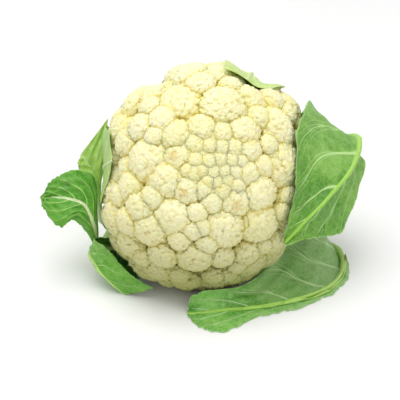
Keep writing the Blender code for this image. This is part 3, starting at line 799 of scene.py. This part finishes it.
def leafMiddle(leaf):
    # rib(u) + across(u) |v|, with a dome 4v(1-v), waves that grow as v^2, quilting between the
    # side veins, and an edge cut in uneven scallops and small teeth
    rows, side = leaf["rows"], leaf["sideColumns"]
    u = np.linspace(0, 1, rows + 1)
    stations = [
        ringStation(leafShared[leaf["ring"]], leaf["azimuth"], *spot, leaf["stalk"])
        for spot in ((0, 0), leafShared["ringStraight"])
    ] + list(leaf["stations"])
    rib, anti, clock = (smoothCurve([np.array(s[i], float) for s in stations], u) for i in range(3))
    s = np.linspace(-1, 1, 2 * side + 1)
    v = np.sign(s) * np.abs(s) ** 1.3
    a = np.abs(v)[None, :, None]
    sign = np.where(v < 0, -1, 1)[None, :, None]
    edge = np.where(sign < 0, clock[:, None], anti[:, None])
    across = edge - rib[:, None]
    half = np.maximum(np.linalg.norm(across, axis=-1, keepdims=True), 0.3)
    tangent = unit(np.gradient(rib, axis=0))[:, None]
    normal = unit(np.cross(tangent, across * sign))
    U = u[:, None, None]
    blade = smoothStep(leaf["bladeFrom"], leaf["bladeFrom"] + 0.12, U)
    phase = leaf["phase"]
    slant = U - leafShared["veinSlant"] * a**1.25
    uneven = 0.28 * np.sin(8 * U + 3 * sign + phase) + 0.10 * np.sin(5 * a + 17 * U + phase)
    veinPlace = slant * leaf["veins"] + 0.5 * (sign > 0) + uneven
    shifted = U + 0.025 * np.sin(31 * U + 2 * sign) + 0.018 * np.sin(57 * U + phase)
    turn = leaf["scallops"] * shifted + 0.3 * sign
    uneven = 0.6 + 0.6 * np.sin(23 * U + sign + phase) ** 2
    scallop = (np.abs(np.sin(math.pi * turn)) - 0.62) * uneven
    teeth = np.abs(np.sin(math.pi * (3.1 * turn + 0.4 * np.sin(41 * U + phase)))) - 0.5
    cut = leaf["scallopDepth"] * scallop + leaf["toothDepth"] * teeth
    stretch = 1 + cut * blade * a**6 / half
    inside = 4 * a * (1 - a)
    wave = np.sin(2 * math.pi * leaf["waves"] * U + phase * sign + 0.8 * a)
    curl = np.sin(2 * math.pi * leaf["waves"] * 2.6 * U + 2.1 * sign + phase + 1.5 * np.sin(9 * U))
    crumple = np.sin(19 * U + 7 * a + phase) * np.sin(13 * a * sign + 5 * U) * inside
    quilt = np.sqrt(np.clip(inside, 0, 1)) * np.sin(math.pi * veinPlace) ** 2
    lift = leaf["ruffle"] * (wave * a**2 + 0.45 * curl * a**5)
    lift = lift + leafShared["crumple"] * crumple + leafShared["quilt"] * quilt
    lift = leaf["bulge"] * inside + blade * lift
    middle = rib[:, None] + across * a * stretch + normal * lift
    return middle, u, v, half[..., 0] * np.abs(v)[None], veinPlace[..., 0], blade[..., 0]


def leafSolid(leaf):
    # the middle surface moved out by half the blade on each side; on the outer side the rib and
    # the side veins stand proud, the rib as h sqrt(1 - (x/w)^2)
    middle, u, v, away, veinPlace, blade = leafMiddle(leaf)
    taper = (1 - u)[:, None]
    ribHalf = leafShared["ribTipHalfWidth"] + (leaf["stalk"] - 1.5) * taper**2.6
    ribHeight = 0.5 + leaf["stalkThick"] * taper**1.2
    ribPlace = away / ribHalf
    profile = np.sqrt(np.clip(1 - ribPlace**2, 0, 1))
    gap = leaf["gap"] + 0.5 * (leafShared["blade"] + ribHeight * profile)
    middle = clearOfCurd(middle, gap)
    floorGap = leafShared["floorGap"] + 0.5 * leafShared["blade"] + 0.6 * ribHeight * profile
    middle = lifted(middle, floorGap)
    alongU = np.gradient(middle, axis=0)
    alongV = np.gradient(middle, axis=1)
    normal = unit(np.cross(alongU, alongV))
    veinAway = np.abs(veinPlace % 1.0 - 0.5) * 2
    veins = leafShared["veinHeight"] * blade * np.exp(-((veinAway / leafShared["veinWidth"]) ** 2))
    veins = veins * (1.1 - np.abs(v)[None])
    thinEdge = 1 - 0.5 * np.abs(v)[None] ** 8
    half = 0.5 * leafShared["blade"] * thinEdge
    innerSide = middle + normal * (half + 0.30 * ribHeight * profile)[..., None]
    outerSide = middle - normal * (half + 0.70 * ribHeight * profile + veins)[..., None]
    return innerSide, outerSide, u, v, ribPlace, veinPlace


def sheetFaces(rows, columns):
    # two grids, one over the other, joined along all four sides
    i, j = np.meshgrid(np.arange(rows - 1), np.arange(columns - 1), indexing="ij")
    a = (i * columns + j).ravel()
    b, c = a + 1, a + columns
    d = c + 1
    top = np.concatenate((np.stack((a, c, b), -1), np.stack((b, c, d), -1)))
    below = top[:, ::-1] + rows * columns
    border = np.concatenate((
        np.arange(columns - 1), (np.arange(rows - 1) + 1) * columns - 1,
        (rows * columns - 1) - np.arange(columns - 1), (np.arange(rows - 1, 0, -1)) * columns,
    ))
    after = np.roll(border, -1)
    under, underAfter = border + rows * columns, after + rows * columns
    wall = (np.stack((border, after, under), -1), np.stack((after, underAfter, under), -1))
    return np.concatenate((top, below, *wall))


def buildLeaf(name, leaf, material):
    innerSide, outerSide, u, v, ribPlace, veinPlace = leafSolid(leaf)
    grid = innerSide.shape[:2]
    points = np.concatenate((innerSide.reshape(-1, 3), outerSide.reshape(-1, 3)))
    faces = outwardFaces(points - points.mean(0), sheetFaces(*grid))
    foot, acrossLeaf = (np.broadcast_to(values, grid) for values in (u[:, None], v[None]))
    uv = np.stack((veinPlace, acrossLeaf), -1).reshape(-1, 2)

    def both(values):
        return np.tile(values.ravel(), 2)

    world = toWorld(points)
    world[:, 2] = np.maximum(world[:, 2], 0.1 * mm)
    putMesh(name, world, faces, material, name, {
        "innerSide": np.repeat([1.0, 0.0], foot.size),
        "ribPlace": both(ribPlace), "edgePlace": both(np.abs(acrossLeaf)), "footPlace": both(foot),
    }, np.concatenate((uv, uv)))
    print(name, "made")


def makeLeafMaterial(name, tone):
    # green blade with pale rib, side veins, forks and net; the outer side is greyer with wax
    material, tree, shader = newMaterial(name)
    place = objectPlace(tree)
    uvMap = tree.nodes.new("ShaderNodeUVMap")
    uvMap.uv_map = "veinMap"
    mottle = useGroup(tree, softMottle, place, {"Slow Scale": 28.0, "Quick Scale": 180.0})["Mask"]
    net = useGroup(tree, fineNet, place, {"Scale": 230.0})
    veins = useGroup(tree, sideVeins, uvMap.outputs["UV"], {"Width": 0.065, "Fork Width": 0.04})
    foot = attribute(tree, "footPlace")
    shade = rampNode(tree, mottle, 0.36, 0.64)
    top = mixColour(tree, shade, tone["innerDeep"], tone["innerLight"])
    under = mixColour(tree, shade, tone["outerDeep"], tone["outerLight"])
    # wax lies thickest near the stalk and on the lighter patches
    waxLow = rampNode(tree, foot, 0.45, 0.85, 0.75, 0.0)
    waxy = mathNode(tree, "ADD", waxLow, rampNode(tree, shade, 0.3, 1.0, -0.25, 0.15))
    waxy = mathNode(tree, "MULTIPLY", waxy, tone["wax"], clamp=True)
    under = mixColour(tree, waxy, under, leafShared["waxColour"])
    green = mixColour(tree, attribute(tree, "innerSide"), under, top)
    green = mixColour(tree, times(tree, net["Lines"], tone["net"]), green, tone["vein"])
    sides, forks = times(tree, veins["Veins"], 0.95), times(tree, veins["Forks"], 0.55)
    lines = mathNode(tree, "MAXIMUM", sides, forks)
    lines = times(tree, lines, rampNode(tree, foot, tone["bladeFrom"], tone["bladeFrom"] + 0.12))
    green = mixColour(tree, lines, green, tone["vein"])
    rib = rampNode(tree, attribute(tree, "ribPlace"), 0.85, 1.35, 1.0, 0.0)
    ribTone = mixColour(tree, rampNode(tree, foot, 0.15, 0.75), tone["stalk"], tone["rib"])
    coloured = mixColour(tree, rib, green, ribTone)
    stalkPart = rampNode(tree, foot, tone["bladeFrom"] - 0.14, tone["bladeFrom"] + 0.08, 0.75, 0.0)
    coloured = mixColour(tree, stalkPart, coloured, tone["stalk"])
    rim = rampNode(tree, attribute(tree, "edgePlace"), 0.965, 1.0, 0.0, 0.55)
    height = mathNode(tree, "ADD", times(tree, lines, 0.8), times(tree, net["Pillows"], 0.35))
    fill(tree, shader, {
        "Base Color": mixColour(tree, rim, coloured, tone["vein"]),
        "Roughness": rampNode(tree, mottle, 0.3, 0.7, 0.38, 0.55),
        "Normal": bumpNode(tree, height, 0.45, 0.0006),
        "Subsurface Weight": 0.12, "Subsurface Radius": (0.6, 1.0, 0.2), "Subsurface Scale": 0.002,
        "Specular IOR Level": 0.4,
    })
    return material


# leaf colours, linear
leafTones = {
    "leafMidGreen": {
        "innerDeep": (0.035, 0.19, 0.008), "innerLight": (0.09, 0.33, 0.02),
        "outerDeep": (0.07, 0.25, 0.010), "outerLight": (0.19, 0.43, 0.03),
        "vein": (0.46, 0.70, 0.26), "rib": (0.34, 0.62, 0.08), "stalk": (0.50, 0.66, 0.26),
        "wax": 0.5, "net": 0.22, "bladeFrom": 0.30,
    },
    "leafBluishGreen": {
        "innerDeep": (0.03, 0.17, 0.012), "innerLight": (0.09, 0.30, 0.03),
        "outerDeep": (0.09, 0.33, 0.03), "outerLight": (0.24, 0.56, 0.09),
        "vein": (0.54, 0.76, 0.36), "rib": (0.38, 0.66, 0.11), "stalk": (0.50, 0.68, 0.24),
        "wax": 0.95, "net": 0.26, "bladeFrom": 0.25,
    },
    "leafFreshGreen": {
        "innerDeep": (0.03, 0.20, 0.005), "innerLight": (0.09, 0.34, 0.012),
        "outerDeep": (0.12, 0.32, 0.04), "outerLight": (0.22, 0.46, 0.09),
        "vein": (0.42, 0.64, 0.18), "rib": (0.66, 0.76, 0.45), "stalk": (0.50, 0.66, 0.26),
        "wax": 0.5, "net": 0.16, "bladeFrom": 0.52,
    },
    "leafFolded": {
        "innerDeep": (0.015, 0.12, 0.004), "innerLight": (0.05, 0.26, 0.008),
        "outerDeep": (0.08, 0.30, 0.015), "outerLight": (0.19, 0.46, 0.05),
        "vein": (0.36, 0.62, 0.17), "rib": (0.44, 0.68, 0.18), "stalk": (0.46, 0.64, 0.22),
        "wax": 0.6, "net": 0.22, "bladeFrom": 0.22,
    },
    "leafPale": {
        "innerDeep": (0.32, 0.56, 0.07), "innerLight": (0.50, 0.70, 0.15),
        "outerDeep": (0.28, 0.50, 0.10), "outerLight": (0.46, 0.66, 0.20),
        "vein": (0.60, 0.74, 0.38), "rib": (0.66, 0.76, 0.46), "stalk": (0.78, 0.80, 0.60),
        "wax": 0.4, "net": 0.25, "bladeFrom": 0.50,
    },
    "leafGreyGreen": {
        "innerDeep": (0.14, 0.36, 0.03), "innerLight": (0.28, 0.50, 0.07),
        "outerDeep": (0.13, 0.30, 0.08), "outerLight": (0.28, 0.46, 0.17),
        "vein": (0.50, 0.66, 0.36), "rib": (0.62, 0.72, 0.44), "stalk": (0.70, 0.76, 0.50),
        "wax": 0.7, "net": 0.28, "bladeFrom": 0.45,
    },
    "leafYellowGreen": {
        "innerDeep": (0.30, 0.52, 0.04), "innerLight": (0.52, 0.72, 0.11),
        "outerDeep": (0.46, 0.66, 0.14), "outerLight": (0.66, 0.80, 0.30),
        "vein": (0.70, 0.82, 0.38), "rib": (0.66, 0.78, 0.36), "stalk": (0.76, 0.80, 0.54),
        "wax": 0.0, "net": 0.22, "bladeFrom": 0.35,
    },
}
leafMaterials = {name: makeLeafMaterial(name, tone) for name, tone in leafTones.items()}

# each station: a point of the rib, of the anticlockwise edge and of the clockwise edge, in the
# view frame
leafRight = {
    "ring": "outerRing", "azimuth": 14, "stalk": 8.0, "stalkThick": 6.5,
    "rows": 230, "sideColumns": 52,
    "bladeFrom": 0.34, "bulge": 2.6, "ruffle": 1.4, "waves": 3.0, "phase": 1.0, "gap": 0.4,
    "veins": 8.5, "scallops": 13, "scallopDepth": 1.3, "toothDepth": 0.8,
    "stations": (
        ((72, 15, -46), (64, 36, -44), (76, 2, -49)),
        ((98, 25, -25), (79, 54, -14), (103, 11, -31)),
        ((117, 27, -2), (76, 52, 12), (122, 12, -10)),
        ((111, 5, 15), (67, 30, 38), (115, -16, 1)),
        ((91, -19, 28), (65, -4, 46), (103, -46, 9)),
        ((73, -37, 36), (60, -33, 46), (78, -49, 28)),
        ((58, -53, 38), (57, -52, 38), (59, -54, 37)),
    ),
}
buildLeaf("leaf_right", leafRight, leafMaterials["leafMidGreen"])

leafFront = {
    "ring": "outerRing", "azimuth": 316, "stalk": 8.0, "stalkThick": 6.5,
    "rows": 250, "sideColumns": 52,
    "bladeFrom": 0.25, "bulge": 3.5, "ruffle": 1.4, "waves": 4.0, "phase": 0.4, "gap": 0.8,
    "veins": 9.5, "scallops": 17, "scallopDepth": 2.4, "toothDepth": 1.2,
    "stations": (
        ((64, -48, -60), (68, -34, -52), (60, -58, -62)),
        ((104, -62, -50), (88, -26, -40), (107, -67, -50)),
        ((109, -79, -27), (80, -28, -32), (112, -83, -26)),
        ((96, -92, -6), (66, -42, -28), (98, -97, -4)),
        ((71, -99, 7), (50, -58, -22), (71, -106, 12)),
        ((42, -103, 15), (34, -77, -4), (38, -112, 22)),
        ((15, -104, 19), (11, -85, 20), (13, -122, 37)),
        ((-3, -107, 20), (-11, -93, 24), (-6, -118, 32)),
        ((-15, -109, 20), (-15, -108, 20), (-15, -110, 21)),
    ),
}
buildLeaf("leaf_front", leafFront, leafMaterials["leafBluishGreen"])

leafLeft = {
    "ring": "outerRing", "azimuth": 207, "stalk": 7.5, "stalkThick": 6.0,
    "rows": 230, "sideColumns": 46,
    "bladeFrom": 0.56, "bulge": 2.0, "ruffle": 1.6, "waves": 4.0, "phase": 0.9, "gap": 2.4,
    "veins": 14, "scallops": 20, "scallopDepth": 1.5, "toothDepth": 0.8,
    "stations": (
        ((-68, -48, -50), (-59, -58, -50), (-74, -36, -50)),
        ((-82, -64, -31), (-77, -70, -29), (-87, -57, -33)),
        ((-86, -60, -18), (-83, -65, -15), (-89, -55, -21)),
        ((-87, -51, -5), (-88, -55, -2), (-86, -46, -8)),
        ((-88, -39, 5), (-93, -45, 6), (-85, -32, 0)),
        ((-94, -25, 8), (-102, -36, 12), (-86, -4, 2)),
        ((-106, -20, 9), (-113, -42, 14), (-104, 1, 5)),
        ((-117, -19, 6), (-125, -28, 8), (-122, -8, 3)),
        ((-127, -19, 0), (-127, -20, 0), (-127, -18, 0)),
    ),
}
buildLeaf("leaf_left", leafLeft, leafMaterials["leafFreshGreen"])

leafLowerLeft = {
    "ring": "innerRing", "azimuth": 240, "stalk": 7.0, "stalkThick": 5.0,
    "rows": 170, "sideColumns": 40,
    "bladeFrom": 0.3, "bulge": -2.0, "ruffle": 1.3, "waves": 3.0, "phase": 0.3, "gap": 1.2,
    "veins": 8, "scallops": 12, "scallopDepth": 1.4, "toothDepth": 0.8,
    "stations": (
        ((-46, -58, -36), (-36, -62, -38), (-57, -50, -33)),
        ((-87, -60, -3), (-60, -70, -30), (-85, -50, 4)),
        ((-86, -71, 2), (-60, -75, -24), (-74, -60, 9)),
        ((-77, -82, 4), (-53, -83, -14), (-62, -73, 11)),
        ((-64, -94, -1), (-62, -95, -5), (-41, -88, 10)),
    ),
}
buildLeaf("leaf_lower_left", leafLowerLeft, leafMaterials["leafFolded"])

leafUpperLeft = {
    "ring": "innerRing", "azimuth": 200, "stalk": 6.5, "stalkThick": 4.5,
    "rows": 170, "sideColumns": 36,
    "bladeFrom": 0.60, "bulge": 2.0, "ruffle": 1.4, "waves": 3.0, "phase": 0.8, "gap": 0.6,
    "veins": 9, "scallops": 13, "scallopDepth": 1.3, "toothDepth": 0.6,
    "stations": (
        ((-62, -36, -40), (-58, -45, -40), (-66, -26, -40)),
        ((-82, -38, -20), (-79, -44, -17), (-84, -31, -24)),
        ((-85, -22, -11), (-83, -28, -6), (-85, -13, -16)),
        ((-87, -8, -10), (-86, -14, -4), (-80, 4, -12)),
        ((-90, 2, -9), (-90, -6, -4), (-76, 19, -8)),
        ((-94, 9, -7), (-98, 1, -3), (-76, 31, -5)),
        ((-98, 15, -6), (-101, 8, -4), (-77, 42, -4)),
    ),
}
buildLeaf("leaf_upper_left", leafUpperLeft, leafMaterials["leafPale"])

leafInnerLeft = {
    "ring": "coreRing", "azimuth": 172, "stalk": 6.0, "stalkThick": 1.5,
    "rows": 90, "sideColumns": 36,
    "bladeFrom": 0.4, "bulge": 0.0, "ruffle": 0.8, "waves": 2.0, "phase": 0.2, "gap": 1.2,
    "veins": 9, "scallops": 9, "scallopDepth": 1.6, "toothDepth": 0.6,
    "stations": (
        ((-62, 3, -28), (-58, -16, -29), (-56, 22, -28)),
        ((-78, 3, 0), (-78, -23, -3), (-70, 33, -2)),
        ((-71, 8, 34), (-77, -21, 18), (-68, 28, 26)),
    ),
}
buildLeaf("leaf_inner_left", leafInnerLeft, leafMaterials["leafPale"])

leafTop = {
    "ring": "innerRing", "azimuth": 72, "stalk": 6.5, "stalkThick": 4.0,
    "rows": 110, "sideColumns": 36,
    "bladeFrom": 0.4, "bulge": 1.0, "ruffle": 0.9, "waves": 2.5, "phase": 0.5, "gap": 1.9,
    "veins": 7, "scallops": 9, "scallopDepth": 1.5, "toothDepth": 0.8,
    "stations": (
        ((28, 62, -34), (12, 66, -36), (42, 53, -34)),
        ((35, 75, -18), (14, 82, -20), (54, 61, -16)),
        ((34, 77, 0), (14, 83, -1), (54, 61, 2)),
        ((29, 67, 28), (12, 71, 32), (45, 58, 20)),
    ),
}
buildLeaf("leaf_top", leafTop, leafMaterials["leafYellowGreen"])

# the leaves cut short behind: (ring, azimuth, half width at the cut, how far they reach)
trimmed = {
    "leaves": (
        ("outerRing", 266, 16, 0.60),
        ("outerRing", 150, 22, 0.80),
        ("outerRing", 107, 28, 0.92),
        ("outerRing", 58, 25, 0.84),
        ("innerRing", 130, 25, 0.82),
        ("innerRing", 340, 26, 0.94),
        ("innerRing", 298, 13, 0.40),
    ),
    "path": ((32, 12), (48, 26), (60, 44)),        # out from the ring and up from it
    "stalkHalf": 8.0, "gaps": {"outerRing": 9.0, "innerRing": 1.2},
}


def buildTrimmed():
    # stalks that run straight out and up, and widen to their cut
    for number, (ring, azimuth, halfWidth, reach) in enumerate(trimmed["leaves"], 1):
        stations = []
        for step, (out, drop) in enumerate(trimmed["path"], 1):
            widening = (step / len(trimmed["path"])) ** 0.7
            wide = trimmed["stalkHalf"] + (halfWidth - trimmed["stalkHalf"]) * widening
            stations.append(ringStation(leafShared[ring], azimuth, out * reach, drop * reach, wide))
        leaf = {
            "ring": ring, "azimuth": azimuth, "stalk": 7.5, "stalkThick": 5.5,
            "rows": 90, "sideColumns": 30,
            "bladeFrom": 0.45, "bulge": -1.0, "ruffle": 1.4, "waves": 2.0, "phase": azimuth * 0.1,
            "gap": trimmed["gaps"][ring],
            "veins": 7, "scallops": 7, "scallopDepth": 1.6, "toothDepth": 0.6, "stations": stations,
        }
        buildLeaf(f"trimmed_leaf_{number}", leaf, leafMaterials["leafGreyGreen"])


buildTrimmed()

# table, light and camera
stage = {
    "floorSize": 3.0, "floorColour": (0.93, 0.93, 0.925), "floorNoise": 6.0,
    "sky": 0.58,
    "keySize": 1.2, "keyPower": 15.8, "keyAt": (-0.25, 0.02, 1.5),
    "fillSize": 1.5, "fillPower": 4.6, "fillAt": (0.9, -1.0, 0.9),
}
camera = {
    "distance": 0.9961,      # metres from the head's centre
    "lens": 116.0, "sensor": 36.0,
    "headPixel": (207, 173), "frameSize": 400,
    "perPixel": 0.7725,      # mm at the head
}


def makeFloorMaterial():
    # nearly white, with a trace of noise in its colour and roughness
    material, tree, shader = newMaterial("paleFloor")
    noise = noiseNode(tree, objectPlace(tree), stage["floorNoise"])["Fac"]
    low = tuple(0.985 * c for c in stage["floorColour"])
    fill(tree, shader, {
        "Base Color": mixColour(tree, noise, low, stage["floorColour"]),
        "Roughness": rampNode(tree, noise, 0.3, 0.7, 0.55, 0.65),
    })
    return material


def buildStage():
    size = stage["floorSize"]
    mesh = bpy.data.meshes.new("floor")
    corners = [(-size, -size, 0), (size, -size, 0), (size, size, 0), (-size, size, 0)]
    mesh.from_pydata(corners, [], [(0, 1, 2, 3)])
    mesh.materials.append(makeFloorMaterial())
    floor = bpy.data.objects.new("floor", mesh)
    bpy.context.scene.collection.objects.link(floor)
    world = bpy.data.worlds.new("softWhite")
    world.use_nodes = True
    sky = {"Color": (1, 1, 1), "Strength": stage["sky"]}
    fill(world.node_tree, world.node_tree.nodes["Background"], sky)
    bpy.context.scene.world = world
    bpy.context.scene.view_settings.view_transform = "Standard"
    for name in ("key", "fill"):
        light = bpy.data.lights.new(name, "AREA")
        light.size = stage[name + "Size"]
        light.energy = stage[name + "Power"]
        lamp = bpy.data.objects.new(name, light)
        lamp.location = stage[name + "At"]
        toHead = Vector(head["at"]) * mm - lamp.location
        lamp.rotation_euler = toHead.to_track_quat("-Z", "Y").to_euler()
        bpy.context.scene.collection.objects.link(lamp)


def buildCamera():
    # it looks down by the view tilt, set off so that the head's centre falls on its pixel
    tilt = head["viewTilt"]
    back = Vector((0, -math.cos(tilt), math.sin(tilt)))
    up = Vector((0, math.sin(tilt), math.cos(tilt)))
    middle = camera["frameSize"] / 2
    right = (camera["headPixel"][0] - middle) * camera["perPixel"] * mm
    rise = (middle - camera["headPixel"][1]) * camera["perPixel"] * mm
    lens = bpy.data.cameras.new("camera")
    lens.lens, lens.sensor_width = camera["lens"], camera["sensor"]
    view = bpy.data.objects.new("camera", lens)
    off = Vector((right, 0, 0)) + up * rise
    view.location = Vector(head["at"]) * mm + back * camera["distance"] - off
    view.rotation_euler = back.to_track_quat("Z", "Y").to_euler()
    bpy.context.scene.collection.objects.link(view)
    bpy.context.scene.camera = view


buildStage()
buildCamera()
print("stage and camera made")
